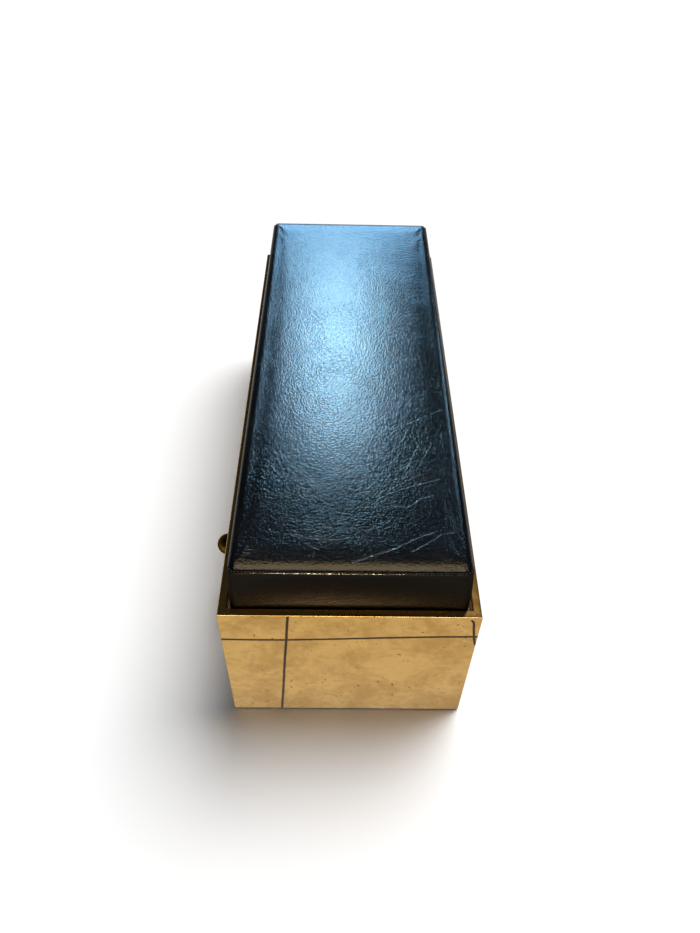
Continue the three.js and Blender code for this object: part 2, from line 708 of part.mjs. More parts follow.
function boxingRings(inset) {
  return Array.from({ length: BOXING_STEPS + 1 }, (_, i) => {
    const height = THREE.MathUtils.lerp(PAD_BULGE_HEIGHT, padBoxingTop, i / BOXING_STEPS);
    return padRing(inset, height, drawIn(height), flareAt(height));
  });
}

// The rounded foot of the pad, from flat underneath to upright at the side
function tuckRings(inset) {
  const radius = PAD_TUCK_RADIUS - inset;
  return Array.from({ length: TUCK_STEPS + 1 }, (_, i) => {
    const angle = (i / TUCK_STEPS) * (Math.PI / 2);
    const across = PAD_TUCK_RADIUS - radius * Math.sin(angle);
    const height = padBase + PAD_TUCK_RADIUS - radius * Math.cos(angle);
    return padRing(across, height, 0, PAD_SIDE_FLARE);
  });
}

// Height of the top panel: a soft edge that rises from the seam, and a low crown
function topHeight(inset, x, y) {
  const edge = 1 - THREE.MathUtils.clamp(inset / PAD_EDGE_REACH, 0, 1);
  const crown = (1 - (x / padX) ** 2) * (1 - (y / padY) ** 4);
  return PAD_SEAM_HEIGHT + PAD_EDGE_RISE * (1 - edge * edge) + PAD_CROWN * crown;
}

function topRings(firstInset, depth) {
  const drop = (inset) => (point) => point.setZ(topHeight(inset, point.x, point.y) - depth);
  const edge = Array.from({ length: EDGE_STEPS + 1 }, (_, i) => {
    const inset = Math.max(firstInset, PAD_EDGE_REACH * (i / EDGE_STEPS));
    return padRing(inset, 0, 0, 0).map(drop(inset));
  });
  const border = edge[EDGE_STEPS];
  const field = Array.from({ length: FIELD_STEPS - 1 }, (_, i) => {
    const share = 1 - (i + 1) / FIELD_STEPS;
    const shrink = new THREE.Vector3(share, share, 1);
    return border.map((point) => point.clone().multiply(shrink)).map(drop(PAD_EDGE_REACH));
  });
  return [...edge, ...field];
}

function addPad() {
  const lining = LEATHER + FIT_GAP;
  const crest = topHeight(PAD_EDGE_REACH, 0, 0);

  const underside = topRings(0, LEATHER).reverse();
  const topPanel = skin([...underside, ...topRings(0, 0)], [crest - LEATHER, crest]);
  place(pad, 'pad_top_leather', topPanel, leather);

  const boxing = [
    padRing(PAD_HEM, padBase, 0, PAD_SIDE_FLARE),
    ...tuckRings(0),
    ...boxingRings(0),
    ...boxingRings(LEATHER).reverse(),
    ...tuckRings(LEATHER).reverse(),
    padRing(PAD_HEM, padBase + LEATHER, 0, PAD_SIDE_FLARE),
  ];
  place(pad, 'pad_boxing_leather', skin(boxing), leather);

  const boardRings = [...tuckRings(lining), padRing(lining, padBoardTop, 0, PAD_SIDE_FLARE)];
  place(pad, 'pad_board', skin(boardRings, [padBoardBottom, padBoardTop]), plywood);

  const foamBottom = padBoardTop + FIT_GAP;
  const foamRings = [
    padRing(lining, foamBottom, 0, PAD_SIDE_FLARE),
    ...boxingRings(lining),
    ...topRings(lining, lining),
  ];
  place(pad, 'pad_foam', skin(foamRings, [foamBottom, crest - lining]), foam);

  const coverTop = padBoardBottom - FIT_GAP;
  const coverInset = PAD_HEM + PAD_COVER_MARGIN;
  const coverLevels = [coverTop - DUST_COVER, coverTop];
  const coverRings = coverLevels.map((height) => padRing(coverInset, height, 0, PAD_SIDE_FLARE));
  place(pad, 'pad_dust_cover', skin(coverRings, coverLevels), felt);
}

addFelt();
addWalls();
addDeck();
addCornerBlocks();
addDivider();
addRunningGear();
addCladding();
addDrawerBox();
addDrawerFront();
addKnob();
addPad();

export default bench;
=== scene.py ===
"""Looks of the luggage bench: brass cladding, wooden carcass and a sewn leather seat pad.

Metres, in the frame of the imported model: Z up, X the width, Y the length, the near end
faces -Y and the drawer opens towards -X. Values written times MM are millimetres.
"""

import math

import bpy
import numpy as np
from mathutils import Matrix, Vector, noise
from mathutils.bvhtree import BVHTree


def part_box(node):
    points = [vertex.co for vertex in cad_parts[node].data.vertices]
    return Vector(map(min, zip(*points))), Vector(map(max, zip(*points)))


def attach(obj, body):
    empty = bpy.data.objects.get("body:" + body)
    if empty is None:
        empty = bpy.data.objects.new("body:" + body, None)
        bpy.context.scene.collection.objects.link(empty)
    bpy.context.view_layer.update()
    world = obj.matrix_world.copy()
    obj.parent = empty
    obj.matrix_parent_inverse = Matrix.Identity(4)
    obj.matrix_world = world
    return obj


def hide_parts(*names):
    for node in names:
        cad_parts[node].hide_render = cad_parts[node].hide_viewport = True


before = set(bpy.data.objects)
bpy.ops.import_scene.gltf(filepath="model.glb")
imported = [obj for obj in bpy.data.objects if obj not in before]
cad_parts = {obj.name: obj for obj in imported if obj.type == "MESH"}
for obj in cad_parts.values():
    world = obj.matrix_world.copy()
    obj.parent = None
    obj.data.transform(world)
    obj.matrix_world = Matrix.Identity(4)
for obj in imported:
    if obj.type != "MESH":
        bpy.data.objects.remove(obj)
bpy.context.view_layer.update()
MM = 0.001

# Picture that the camera is set for
PHOTO_HEIGHT = 933
FOCAL_PIXELS = 739.25
CAMERA_PLACE = (-0.0206, -1.2158, 1.3943)
CAMERA_PITCH = math.radians(46.653)
CAMERA_YAW = math.radians(1.223)
CAMERA_ROLL = math.radians(1.586)
SENSOR = 36.0

# Light
SUN_FROM = (0.33, 0.38, 1.0)
SUN_STRENGTH = 4.2
SUN_ANGLE = math.radians(38)
SKY_AT_HORIZON = 0.3
SKY_ABOVE = 0.035
SKY_COLOUR = (0.75, 0.9, 1.0, 1)
FLOOR_HALF = 60.0
FLOOR_COLOUR = (0.82, 0.82, 0.82, 1)
FLOOR_GLOW = 0.04
FLOOR_IN_METAL = 0.92
FLOOR_BESIDE = 0.5

# Where the mirrored floor changes from its level beside the long sides to its level elsewhere
FLOOR_SIDE_FROM, FLOOR_SIDE_TO = 0.22, 1.1
FLOOR_END_FROM, FLOOR_END_TO = 0.50, 0.62

# Heights above the horizon between which the sky fades
SKY_FADE_FROM = math.radians(5)
SKY_FADE_TO = math.radians(22)

# Softboxes, each mirrored by one group of pieces: place, width and height, radiance, colour.
# They give no diffuse light. The leather's low gloss goes with their high radiance.
LEATHER_SOFTBOXES = {
    "sky_panel": ((-0.05, 2.42, 2.44), (0.42, 1.10), 46.0, (0.48, 0.80, 1.0)),
    "deep_sky_panel": ((-0.14, 2.5, 2.3), (0.60, 1.3), 4.0, (0.16, 0.50, 1.0)),
    "low_sky_panel": ((0.02, 3.0, 1.40), (1.1, 0.8), 14.0, (0.28, 0.62, 1.0)),
    "edge_strip": ((1.35, 2.05, 2.2), (0.13, 1.3), 30.0, (0.42, 0.75, 1.0)),
    "warm_panel": ((0.0, -0.35, 3.2), (2.0, 1.5), 7.5, (1.0, 0.72, 0.40)),
    "warm_floor_card": ((-0.06, -1.35, 0.03), (0.26, 0.8), 300.0, (1.0, 0.74, 0.44)),
}
BRASS_SOFTBOXES = {
    "fold_panel": ((0.0, -2.6, 2.6), (3.0, 0.9), 10.0, (1.0, 0.97, 0.90)),
    "corner_panel": ((0.70, 0.75, 2.45), (0.5, 0.4), 1.6, (1.0, 0.93, 0.82)),
}
SOFTBOX_TARGET = (0.0, 0.0, 0.44)

# Seat pad
LEATHER = 1.5 * MM
TOP_SPREAD = 2.5 * MM
EDGE_RISE = 8.0 * MM
EDGE_REACH_SIDES = 16 * MM
EDGE_REACH_ENDS = 31 * MM
EDGE_CORNER_POWER = 2.65
CROWN = 1.0 * MM
CORNER_RADIUS = 14 * MM
FINE_CELL = 2.6 * MM
COARSE_CELL = 6.0 * MM
FINE_BAND = 26 * MM
DRAW_IN = 4.0 * MM
DRAW_IN_ENDS = 9.0 * MM
BULGE_HEIGHT = 28 * MM
TUCK_RADIUS = 8 * MM
HEM = 30 * MM
BOXING_STEP = 5.0 * MM
SEAM_GROOVE = 0.35 * MM
SEAM_GROOVE_DROP = 1.2 * MM
SEAM_GROOVE_END = 3.0 * MM
SEAM_MARGIN = 4 * MM
BOXING_DROP = 6 * MM
CORNER_SEAM_DEPTH = 0.8 * MM
CORNER_SEAM_WIDTH = 3.0 * MM
HELD_INSET = 0.3 * MM

# Inflation of the pad cover
PRESSURE = 4.0
SIM_FRAMES = 20
SWELL_CAP = 0.4 * MM

# Dust cover
DUST_COLUMNS, DUST_ROWS = 40, 120
DUST_SLACK = 12
DUST_RIPPLE = 0.22 * MM
DUST_THICKNESS = 0.3 * MM

# Smooth shading of the solids
MERGE_DISTANCE = 0.02 * MM
SMOOTH_ANGLE = math.radians(32)

# Stitches
STITCH_PITCH = 5.6 * MM
STITCH_LENGTH = 3.7 * MM
STITCH_RADIUS = 0.45 * MM
STITCH_INSET = 2.2 * MM


# Node helpers
def new_material(name):
    """An empty node material and its Principled shader."""
    material = bpy.data.materials.new(name)
    material.use_nodes = True
    nodes = material.node_tree.nodes
    nodes.clear()
    output = nodes.new("ShaderNodeOutputMaterial")
    shader = nodes.new("ShaderNodeBsdfPrincipled")
    material.node_tree.links.new(shader.outputs[0], output.inputs["Surface"])
    return material, shader


class Graph:
    """Adds nodes to a tree. An input given as a socket is linked, and otherwise it is set."""

    def __init__(self, tree):
        self.tree = tree

    def node(self, kind, inputs=None, **settings):
        made = self.tree.nodes.new(kind)
        for key, value in settings.items():
            setattr(made, key, value)
        for key, value in (inputs or {}).items():
            self.feed(made.inputs[key], value)
        return made

    def feed(self, socket, value):
        if isinstance(value, bpy.types.NodeSocket):
            self.tree.links.new(value, socket)
        else:
            socket.default_value = value

    def place(self):
        return self.node("ShaderNodeTexCoord").outputs["Object"]

    def stretched(self, vector, scale):
        return self.node("ShaderNodeVectorMath", {0: vector, 1: scale}, operation="MULTIPLY").outputs[0]

    def axes(self, vector):
        return self.node("ShaderNodeSeparateXYZ", {0: vector}).outputs

    def math(self, operation, a, b=0.0, clamp=False):
        return self.node("ShaderNodeMath", {0: a, 1: b}, operation=operation, use_clamp=clamp).outputs[0]

    def noise(self, vector, scale, detail=4.0, roughness=0.55, distortion=0.0):
        inputs = {"Vector": vector, "Scale": scale, "Detail": detail}
        inputs.update({"Roughness": roughness, "Distortion": distortion})
        return self.node("ShaderNodeTexNoise", inputs).outputs["Fac"]

    def warped(self, vector, scale, amount):
        """The place, pushed about by a coloured noise."""
        colour = self.node("ShaderNodeTexNoise", {"Vector": vector, "Scale": scale}).outputs["Color"]
        centred = self.node("ShaderNodeVectorMath", {0: colour, 1: (0.5, 0.5, 0.5)}, operation="SUBTRACT")
        push = self.stretched(centred.outputs[0], (amount, amount, amount))
        return self.node("ShaderNodeVectorMath", {0: vector, 1: push}, operation="ADD").outputs[0]

    def cells(self, vector, scale, feature="F1", randomness=1.0):
        inputs = {"Vector": vector, "Scale": scale, "Randomness": randomness}
        return self.node("ShaderNodeTexVoronoi", inputs, feature=feature).outputs["Distance"]

    def remap(self, value, low, high, to_low=0.0, to_high=1.0):
        inputs = {"Value": value, "From Min": low, "From Max": high, "To Min": to_low, "To Max": to_high}
        return self.node("ShaderNodeMapRange", inputs, interpolation_type="SMOOTHSTEP").outputs["Result"]

    def mix(self, factor, a, b):
        made = self.node("ShaderNodeMix", {"Factor": factor}, data_type="RGBA")
        self.feed(made.inputs[6], a)
        self.feed(made.inputs[7], b)
        return made.outputs[2]

    def mix_values(self, factor, a, b):
        start = self.math("MULTIPLY", a, self.math("SUBTRACT", 1.0, factor))
        return self.math("ADD", start, self.math("MULTIPLY", factor, b))

    def bump(self, height, strength, distance, normal=None):
        inputs = {"Height": height, "Strength": strength, "Distance": distance}
        if normal is not None:
            inputs["Normal"] = normal
        return self.node("ShaderNodeBump", inputs).outputs[0]

    def segment(self, along, across, start, end, width):
        """1 on a straight line between two points of a plane, 0 beyond its width."""
        run = Vector(end) - Vector(start)
        length = run.length
        unit = run / length
        near_along = self.math("SUBTRACT", along, start[0])
        near_across = self.math("SUBTRACT", across, start[1])
        travel = self.math(
            "ADD", self.math("MULTIPLY", near_along, unit.x), self.math("MULTIPLY", near_across, unit.y)
        )
        offset = self.math(
            "SUBTRACT", self.math("MULTIPLY", near_along, unit.y), self.math("MULTIPLY", near_across, unit.x)
        )
        middle = self.math("ABSOLUTE", self.math("SUBTRACT", travel, length / 2))
        past_end = self.math("MAXIMUM", self.math("SUBTRACT", middle, length / 2), 0.0)
        distance = self.math("MAXIMUM", self.math("ABSOLUTE", offset), past_end)
        return self.remap(distance, width * 0.35, width * 0.65, 1.0, 0.0)

    def polyline(self, along, across, points, width):
        lines = [self.segment(along, across, a, b, width) for a, b in zip(points, points[1:])]
        whole = lines[0]
        for line in lines[1:]:
            whole = self.math("MAXIMUM", whole, line)
        return whole


# Brass
BRASS_LIGHT = (0.640, 0.385, 0.112, 1)
BRASS_DEEP = (0.485, 0.268, 0.066, 1)
BRASS_STAIN = (0.15, 0.076, 0.018, 1)
# Colour of the painted reflection lines on the near end
BRASS_PAINTED_REFLECTION_LINE = (0.020, 0.008, 0.0015, 1)

# Painted reflections: dark lines across the near end, standing for floor joints mirrored in its brass: width,
# then points of X and Z, in millimetres
NEAR_END_PAINTED_REFLECTIONS = (
    (4.6, ((-102.8, 336), (-107.3, 270), (-112.7, 206), (-118.4, 124), (-127.3, 3))),
    (5.8, ((-219.5, 263.2), (-168, 262.3), (-111, 262.6), (-25, 267),
           (70, 273), (150, 276.8), (219.5, 278.6))),
    (4.4, ((203.2, 329.6), (206.2, 325.4), (208, 317), (212.1, 287.5), (216.5, 263), (219.5, 252))),
)


def brass_material(name, lines=()):
    material, shader = new_material(name)
    graph = Graph(material.node_tree)
    place = graph.place()
    cloud = graph.noise(place, 13.0, 7.0, 0.66, 0.5)
    fine = graph.noise(place, 70.0, 5.0, 0.6)
    tone = graph.math("ADD", graph.math("MULTIPLY", cloud, 0.7), graph.math("MULTIPLY", fine, 0.3))
    colour = graph.mix(graph.remap(tone, 0.38, 0.60), BRASS_DEEP, BRASS_LIGHT)

    # Stains gather in clouds, specks and short scratches lie everywhere
    blot_place = graph.warped(place, 14.0, 0.03)
    blot = graph.remap(graph.noise(blot_place, 24.0, 8.0, 0.74), 0.55, 0.80, 0.0, 0.50)
    fleck_place = graph.warped(place, 130.0, 0.008)
    flecks = graph.remap(graph.cells(fleck_place, 75.0), 0.10, 0.20, 1.0, 0.0)
    chosen = graph.remap(graph.noise(place, 26.0, 4.0), 0.50, 0.60)
    specks = graph.math("MULTIPLY", graph.math("MULTIPLY", flecks, chosen), 0.8)
    nick_place = graph.warped(graph.stretched(place, (0.9, 0.9, 0.30)), 26.0, 0.03)
    nicks = graph.remap(graph.cells(nick_place, 60.0), 0.05, 0.10, 0.95, 0.0)
    picked = graph.remap(graph.noise(place, 17.0, 3.0), 0.47, 0.56)
    scratches = graph.math("MULTIPLY", nicks, picked)
    dark = graph.math("MAXIMUM", blot, graph.math("MAXIMUM", specks, scratches), clamp=True)
    colour = graph.mix(dark, colour, BRASS_STAIN)
    # The near end gets painted reflections: dark lines drawn into the colour of its face towards -Y
    if lines:
        x, _, z = graph.axes(graph.warped(place, 60.0, 0.0012))
        drawn = None
        for width, points in lines:
            metres = [(px * MM, pz * MM) for px, pz in points]
            line = graph.polyline(x, z, metres, width * MM)
            drawn = line if drawn is None else graph.math("MAXIMUM", drawn, line)
        facing = graph.axes(graph.node("ShaderNodeTexCoord").outputs["Normal"])[1]
        drawn = graph.math("MULTIPLY", drawn, graph.remap(facing, -0.9, -0.6, 0.95, 0.0))
        colour = graph.mix(drawn, colour, BRASS_PAINTED_REFLECTION_LINE)

    rub = graph.noise(graph.stretched(place, (1.0, 1.0, 0.12)), 420.0, 3.0)
    rough = graph.math("ADD", graph.remap(tone, 0.3, 0.7, 0.30, 0.20), graph.math("MULTIPLY", rub, 0.08))
    rough = graph.math("ADD", rough, graph.math("MULTIPLY", dark, 0.25), clamp=True)
    wave = graph.bump(graph.noise(place, 7.0, 2.0), 0.10, 0.004)
    scratch = graph.bump(rub, 0.05, 0.0004, wave)
    graph.feed(shader.inputs["Base Color"], colour)
    graph.feed(shader.inputs["Roughness"], rough)
    graph.feed(shader.inputs["Normal"], scratch)
    shader.inputs["Metallic"].default_value = 1.0
    return material


def bronze_material():
    material, shader = new_material("aged_bronze")
    graph = Graph(material.node_tree)
    place = graph.place()
    tone = graph.noise(place, 90.0, 6.0, 0.6, 0.6)
    worn = graph.noise(place, 30.0, 3.0)
    colour = graph.mix(graph.remap(tone, 0.35, 0.7), (0.10, 0.056, 0.010, 1), (0.19, 0.112, 0.024, 1))
    colour = graph.mix(graph.remap(worn, 0.58, 0.75, 0.0, 0.5), colour, (0.27, 0.16, 0.045, 1))
    turned = graph.noise(graph.stretched(place, (900.0, 6.0, 6.0)), 1.0, 2.0)
    graph.feed(shader.inputs["Base Color"], colour)
    graph.feed(shader.inputs["Roughness"], graph.remap(tone, 0.3, 0.7, 0.42, 0.30))
    graph.feed(shader.inputs["Normal"], graph.bump(turned, 0.06, 0.0003))
    shader.inputs["Metallic"].default_value = 1.0
    shader.inputs["Specular Tint"].default_value = (0.22, 0.13, 0.04, 1)
    return material


def steel_material():
    material, shader = new_material("zinc_steel")
    graph = Graph(material.node_tree)
    place = graph.place()
    tone = graph.noise(place, 260.0, 5.0)
    graph.feed(shader.inputs["Base Color"], graph.mix(tone, (0.42, 0.43, 0.45, 1), (0.62, 0.61, 0.58, 1)))
    graph.feed(shader.inputs["Roughness"], graph.remap(tone, 0.3, 0.7, 0.42, 0.28))
    graph.feed(shader.inputs["Normal"], graph.bump(tone, 0.08, 0.0003))
    shader.inputs["Metallic"].default_value = 1.0
    return material


# Wood: the grain runs along one axis, and plywood shows its plies on its edges
WOODS = {
    "plywood": ((0.66, 0.49, 0.30, 1), (0.47, 0.31, 0.165, 1)),
    "hardwood": ((0.40, 0.235, 0.115, 1), (0.225, 0.118, 0.052, 1)),
}
PLY = 1.5 * MM


def wood_material(kind, along, thin):
    material, shader = new_material(f"{kind}_{'xyz'[along]}{'xyz'[thin]}")
    graph = Graph(material.node_tree)
    place = graph.place()
    light, deep = WOODS[kind]
    squeeze = [1.0, 1.0, 1.0]
    squeeze[along] = 0.07
    grain_place = graph.warped(graph.stretched(place, squeeze), 6.0, 0.03)
    figure = graph.noise(grain_place, 34.0, 5.0, 0.6, 1.2)
    pores = graph.noise(graph.stretched(place, squeeze), 620.0, 3.0)
    tone = graph.math("ADD", graph.math("MULTIPLY", figure, 0.75), graph.math("MULTIPLY", pores, 0.25))
    colour = graph.mix(graph.remap(tone, 0.34, 0.64), deep, light)
    if kind == "plywood":
        layer = graph.math("MODULO", graph.math("ADD", graph.axes(place)[thin], 10.0), 2 * PLY)
        dark_ply = graph.remap(layer, PLY * 0.9, PLY * 1.1)
        facing = graph.node("ShaderNodeTexCoord").outputs["Normal"]
        edge = graph.remap(graph.math("ABSOLUTE", graph.axes(facing)[thin]), 0.3, 0.6, 1.0, 0.0)
        ply_colour = graph.mix(dark_ply, (0.60, 0.44, 0.26, 1), (0.36, 0.225, 0.115, 1))
        colour = graph.mix(graph.math("MULTIPLY", edge, 0.85), colour, ply_colour)
    graph.feed(shader.inputs["Base Color"], colour)
    graph.feed(shader.inputs["Roughness"], graph.remap(tone, 0.3, 0.7, 0.66, 0.50))
    graph.feed(shader.inputs["Normal"], graph.bump(tone, 0.22, 0.0005))
    return material


def felt_material():
    material, shader = new_material("pressed_felt")
    graph = Graph(material.node_tree)
    place = graph.place()
    fluff = graph.noise(place, 900.0, 6.0, 0.7, 0.8)
    colour = graph.mix(fluff, (0.018, 0.017, 0.016, 1), (0.075, 0.072, 0.068, 1))
    graph.feed(shader.inputs["Base Color"], colour)
    graph.feed(shader.inputs["Normal"], graph.bump(fluff, 0.5, 0.0008))
    shader.inputs["Roughness"].default_value = 0.95
    shader.inputs["Sheen Weight"].default_value = 0.3
    return material


def cover_cloth_material():
    material, shader = new_material("black_cover_cloth")
    graph = Graph(material.node_tree)
    x, y, _ = graph.axes(graph.place())
    warp = graph.math("SINE", graph.math("MULTIPLY", x, 2 * math.pi / (1.4 * MM)))
    weft = graph.math("SINE", graph.math("MULTIPLY", y, 2 * math.pi / (1.4 * MM)))
    weave = graph.math("MULTIPLY", warp, weft)
    lint = graph.noise(graph.place(), 60.0, 5.0)
    shade = graph.math("ADD", graph.math("MULTIPLY", weave, 0.25), lint)
    colour = graph.mix(shade, (0.012, 0.012, 0.013, 1), (0.045, 0.044, 0.043, 1))
    graph.feed(shader.inputs["Base Color"], colour)
    graph.feed(shader.inputs["Normal"], graph.bump(weave, 0.35, 0.0004))
    shader.inputs["Roughness"].default_value = 0.9
    return material


# Leather: pebbled grain, a net of fine wrinkles and single long creases on the seat
LEATHER_BLACK = (0.0016, 0.0019, 0.0025, 1)
LEATHER_WORN = (0.0042, 0.0048, 0.0058, 1)
# Warm black of the boxing, a painted warm reflection
LEATHER_WARM_PAINTED_REFLECTION = (0.0016, 0.0011, 0.0006, 1)
# Paler colour of the creases: wear along them, and a painted highlight
LEATHER_CREASE_WEAR_AND_SHEEN = (0.034, 0.044, 0.054, 1)
SEAT_GLOSS = 0.22
BOXING_GLOSS = 0.018
SEAM_ROUGHNESS = 0.62
RING_PLACE = (13 * MM, -345 * MM)
RING_RADIUS = 29 * MM
RING_WIDTH = 2.2 * MM
CREASE_WIDTH = 2.4 * MM
CREASES = (
    ((3, -525), (57, -505), (101, -480), (141, -462)),
    ((-107, -470), (-78, -479), (-39, -483), (3, -477)),
    ((96, -505), (123, -488), (147, -469), (167, -465)),
    ((62, -384), (104, -365), (154, -348)),
    ((71, -224), (113, -204), (175, -166)),
    ((5, -94), (64, -107)),
    ((-111, -294), (-86, -290), (-61, -283)),
    ((-74, -489), (-61, -498), (-51, -502)),
    ((-89, -368), (-79, -374), (-68, -374)),
    ((68, -409), (94, -413), (116, -394), (137, -385)),
    ((105, -223), (88, -268), (71, -321)),
    ((121, -265), (91, -339)),
    ((147, -259), (121, -315)),
)


def leather_material(name, seat):
    material, shader = new_material(name)
    graph = Graph(material.node_tree)
    place = graph.place()
    pebble = graph.cells(graph.warped(place, 210.0, 0.0024), 330.0, "SMOOTH_F1")
    pebble = graph.remap(pebble, 0.1, 0.75, 1.0, 0.0)
    net_place = graph.warped(graph.stretched(place, (0.62, 1.0, 1.0)), 45.0, 0.012)
    net = graph.remap(graph.cells(net_place, 105.0, "DISTANCE_TO_EDGE"), 0.0, 0.09, 0.0, 1.0)
    net_share = graph.remap(graph.noise(place, 11.0, 3.0), 0.34, 0.72)
    wrinkles = graph.math("MULTIPLY", graph.math("SUBTRACT", 1.0, net), net_share)
    raised = graph.math("MULTIPLY", pebble, 0.55)
    height = graph.math("SUBTRACT", raised, graph.math("MULTIPLY", wrinkles, 0.40))
    sway = graph.noise(place, 42.0, 4.0, 0.6)
    if seat:
        x, y, _ = graph.axes(graph.warped(place, 55.0, 0.006))
        dx = graph.math("SUBTRACT", x, RING_PLACE[0])
        dy = graph.math("SUBTRACT", y, RING_PLACE[1])
        squares = graph.math("ADD", graph.math("POWER", dx, 2.0), graph.math("POWER", dy, 2.0))
        reach = graph.math("SQRT", squares)
        off_ring = graph.math("ABSOLUTE", graph.math("SUBTRACT", reach, RING_RADIUS))
        ring = graph.remap(off_ring, 0.0, RING_WIDTH, 1.0, 0.0)
        broken = graph.remap(graph.noise(place, 48.0, 3.0), 0.40, 0.62, 0.15, 0.75)
        folds = graph.math("MULTIPLY", ring, broken)
        for points in CREASES:
            metres = [(px * MM, py * MM) for px, py in points]
            folds = graph.math("MAXIMUM", folds, graph.polyline(x, y, metres, CREASE_WIDTH))
        fading = graph.remap(graph.noise(place, 75.0, 3.0), 0.36, 0.60, 0.15, 1.0)
        folds = graph.math("MULTIPLY", folds, fading)
        height = graph.math("SUBTRACT", height, graph.math("MULTIPLY", folds, 1.5))
    normal = graph.bump(sway, 0.30, 0.0010)
    normal = graph.bump(height, 0.40 if seat else 0.35, 0.0008, normal)
    worn = graph.remap(graph.noise(place, 13.0, 5.0, 0.65), 0.40, 0.72)
    base = graph.mix(worn, LEATHER_BLACK, LEATHER_WORN)
    gloss = SEAT_GLOSS
    roughness = graph.remap(pebble, 0.2, 0.9, 0.21, 0.13)
    if seat:
        # The creases are painted paler: worn finish along them and a painted highlight
        base = graph.mix(graph.math("MULTIPLY", folds, 0.25), base, LEATHER_CREASE_WEAR_AND_SHEEN)
    else:
        # Painted reflection: the boxing's black is tinted warm
        base = graph.mix(0.8, base, LEATHER_WARM_PAINTED_REFLECTION)
        gloss = BOXING_GLOSS
        roughness = graph.remap(pebble, 0.2, 0.9, 0.38, 0.30)
        x, y, z = graph.axes(place)
        by_seam = graph.remap(z, SEAM_Z - 6 * MM, SEAM_Z - 2 * MM, 0.0, SEAM_ROUGHNESS)
        by_side = graph.remap(
            graph.math("ABSOLUTE", x), PAD_X - CORNER_RADIUS, PAD_X - 0.5 * CORNER_RADIUS, 0.0, SEAM_ROUGHNESS
        )
        by_end = graph.remap(
            graph.math("ABSOLUTE", y), PAD_Y - 1.5 * CORNER_RADIUS, PAD_Y - CORNER_RADIUS, 0.0, SEAM_ROUGHNESS
        )
        at_corner = graph.math("MINIMUM", by_side, by_end)
        roughness = graph.math("MAXIMUM", roughness, graph.math("MAXIMUM", by_seam, at_corner))
    graph.feed(shader.inputs["Base Color"], base)
    graph.feed(shader.inputs["Roughness"], roughness)
    graph.feed(shader.inputs["Normal"], normal)
    shader.inputs["IOR"].default_value = 1.5
    shader.inputs["Specular IOR Level"].default_value = gloss
    # The specular tint paints the reflections' colour: cool on the seat, warm on the boxing
    shader.inputs["Specular Tint"].default_value = (0.92, 0.97, 1.0, 1) if seat else (1.0, 0.80, 0.52, 1)
    return material


def thread_material():
    material, shader = new_material("grey_thread")
    graph = Graph(material.node_tree)
    place = graph.place()
    twist = graph.noise(place, 1500.0, 3.0)
    graph.feed(shader.inputs["Base Color"], graph.mix(twist, (0.035, 0.032, 0.028, 1), (0.10, 0.09, 0.08, 1)))
    graph.feed(shader.inputs["Normal"], graph.bump(twist, 0.4, 0.0003))
    shader.inputs["Roughness"].default_value = 0.7
    return material


# Carried-over solids get smooth curves, sharp edges and their finish
def smoothing_group():
    group = bpy.data.node_groups.new("smooth_curves", "GeometryNodeTree")
    group.interface.new_socket("Geometry", in_out="INPUT", socket_type="NodeSocketGeometry")
    group.interface.new_socket("Geometry", in_out="OUTPUT", socket_type="NodeSocketGeometry")
    graph = Graph(group)
    start = graph.node("NodeGroupInput").outputs[0]
    bare = graph.node("GeometryNodeRemoveAttribute", {"Geometry": start, "Name": "custom_normal"})
    merged = graph.node("GeometryNodeMergeByDistance", {"Geometry": bare.outputs[0], "Distance": MERGE_DISTANCE})
    faces = graph.node(
        "GeometryNodeSetShadeSmooth", {0: merged.outputs[0], "Shade Smooth": True}, domain="FACE"
    )
    angle = graph.node("GeometryNodeInputMeshEdgeAngle").outputs[0]
    gentle = graph.node("FunctionNodeCompare", {0: angle, 1: SMOOTH_ANGLE}, operation="LESS_THAN")
    edges = graph.node(
        "GeometryNodeSetShadeSmooth", {0: faces.outputs[0], "Shade Smooth": gentle.outputs[0]}, domain="EDGE"
    )
    graph.node("NodeGroupOutput", {0: edges.outputs[0]})
    return group


def finish_solids():
    plain = {
        "brass_sheet": brass_material("polished_brass"),
        "brass_knob": bronze_material(),
        "steel": steel_material(),
        "felt": felt_material(),
    }
    near_brass = brass_material("polished_brass_near_end", NEAR_END_PAINTED_REFLECTIONS)
    woods = {}
    group = smoothing_group()
    for name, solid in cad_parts.items():
        slot = solid.data.materials[0].name
        if slot in WOODS:
            low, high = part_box(name)
            size = high - low
            along = max(range(3), key=lambda axis: size[axis])
            thin = min(range(3), key=lambda axis: size[axis])
            key = (slot, along, thin)
            if key not in woods:
                woods[key] = wood_material(*key)
            solid.material_slots[0].material = woods[key]
        elif slot in plain:
            solid.material_slots[0].material = plain[slot]
        modifier = solid.modifiers.new("smooth_curves", "NODES")
        modifier.node_group = group
    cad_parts["near_end_cladding"].material_slots[0].material = near_brass


# Seat pad cover
boxing_low, boxing_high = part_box("pad_boxing_leather")
top_low, top_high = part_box("pad_top_leather")
PAD_X = top_high.x + TOP_SPREAD
PAD_Y = top_high.y
SIDE_FLARE = boxing_high.x - PAD_X
SEAM_Z = top_low.z + LEATHER
BASE_Z = boxing_low.z


def spaced(half):
    """Places from -half to half, close together near both ends."""
    fine = np.linspace(0, FINE_BAND, round(FINE_BAND / FINE_CELL), endpoint=False)
    run = 2 * (half - FINE_BAND)
    middle = np.linspace(FINE_BAND, FINE_BAND + run, round(run / COARSE_CELL) + 1)
    rest = (2 * half - fine)[::-1]
    return np.concatenate([fine, middle, rest]) - half


